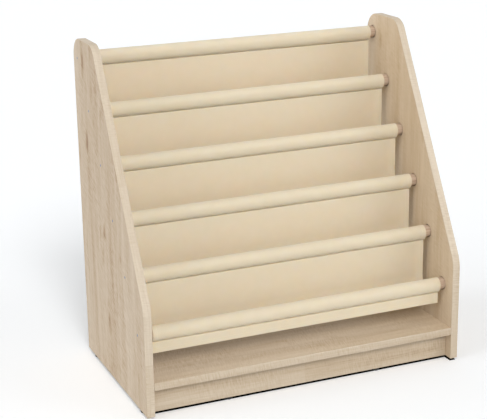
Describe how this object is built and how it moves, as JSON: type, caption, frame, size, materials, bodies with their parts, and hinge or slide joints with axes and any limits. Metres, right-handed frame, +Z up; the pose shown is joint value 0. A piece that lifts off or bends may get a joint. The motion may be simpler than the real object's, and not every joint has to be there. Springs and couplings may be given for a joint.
{
  "type": "sling bookcase",
  "caption": "Children's sling bookcase: sloped board sides carry round rods, a cloth sling on them forms face-out book pockets, and a low shelf stands on plinths.",
  "frame": {"origin": "on the floor, in the middle of the bookcase's footprint", "axes": "+X to the viewer's right along the rods, +Y from the low front to the tall back, +Z up"},
  "size_m": [0.778, 0.435, 0.773],
  "materials": {
    "board_facing": "satin printed maple facing on chipboard",
    "edge_band": "satin edge band with a maple print",
    "rod_wood": "sanded hardwood dowel",
    "sling_cloth": "smooth cream coated cloth",
    "zinc_plated_steel": "zinc plated",
    "cam_zinc": "die-cast zinc",
    "pin_wood": "raw hardwood",
    "glide_plastic": "black moulded plastic"
  },
  "bodies": {
    "root": {"bottom_shelf": "board_facing", "edge_band_left": "edge_band", "edge_band_right": "edge_band", "front_plinth": "board_facing", "front_plinth_left_end_pin": "pin_wood", "front_plinth_left_glide": "glide_plastic", "front_plinth_left_top_pin": "pin_wood", "front_plinth_right_end_pin": "pin_wood", "front_plinth_right_glide": "glide_plastic", "front_plinth_right_top_pin": "pin_wood", "glide_left_panel_back": "glide_plastic", "glide_left_panel_front": "glide_plastic", "glide_right_panel_back": "glide_plastic", "glide_right_panel_front": "glide_plastic", "rear_plinth": "board_facing", "rear_plinth_left_end_pin": "pin_wood", "rear_plinth_left_glide": "glide_plastic", "rear_plinth_left_top_pin": "pin_wood", "rear_plinth_right_end_pin": "pin_wood", "rear_plinth_right_glide": "glide_plastic", "rear_plinth_right_top_pin": "pin_wood", "rod_1": "rod_wood", "rod_1_screw_left": "zinc_plated_steel", "rod_1_screw_right": "zinc_plated_steel", "rod_2": "rod_wood", "rod_2_screw_left": "zinc_plated_steel", "rod_2_screw_right": "zinc_plated_steel", "rod_3": "rod_wood", "rod_3_screw_left": "zinc_plated_steel", "rod_3_screw_right": "zinc_plated_steel", "rod_4": "rod_wood", "rod_4_screw_left": "zinc_plated_steel", "rod_4_screw_right": "zinc_plated_steel", "rod_5": "rod_wood", "rod_5_screw_left": "zinc_plated_steel", "rod_5_screw_right": "zinc_plated_steel", "rod_6": "rod_wood", "rod_6_screw_left": "zinc_plated_steel", "rod_6_screw_right": "zinc_plated_steel", "shelf_bolt_left_back": "zinc_plated_steel", "shelf_bolt_left_front": "zinc_plated_steel", "shelf_bolt_right_back": "zinc_plated_steel", "shelf_bolt_right_front": "zinc_plated_steel", "shelf_cam_left_back": "cam_zinc", "shelf_cam_left_front": "cam_zinc", "shelf_cam_right_back": "cam_zinc", "shelf_cam_right_front": "cam_zinc", "shelf_edge_band": "edge_band", "side_panel_left": "board_facing", "side_panel_right": "board_facing", "sling_flap": "sling_cloth", "sling_strip_1": "sling_cloth", "sling_strip_2": "sling_cloth", "sling_strip_3": "sling_cloth", "sling_strip_4": "sling_cloth", "sling_strip_5": "sling_cloth"}
  },
  "joints": []
}
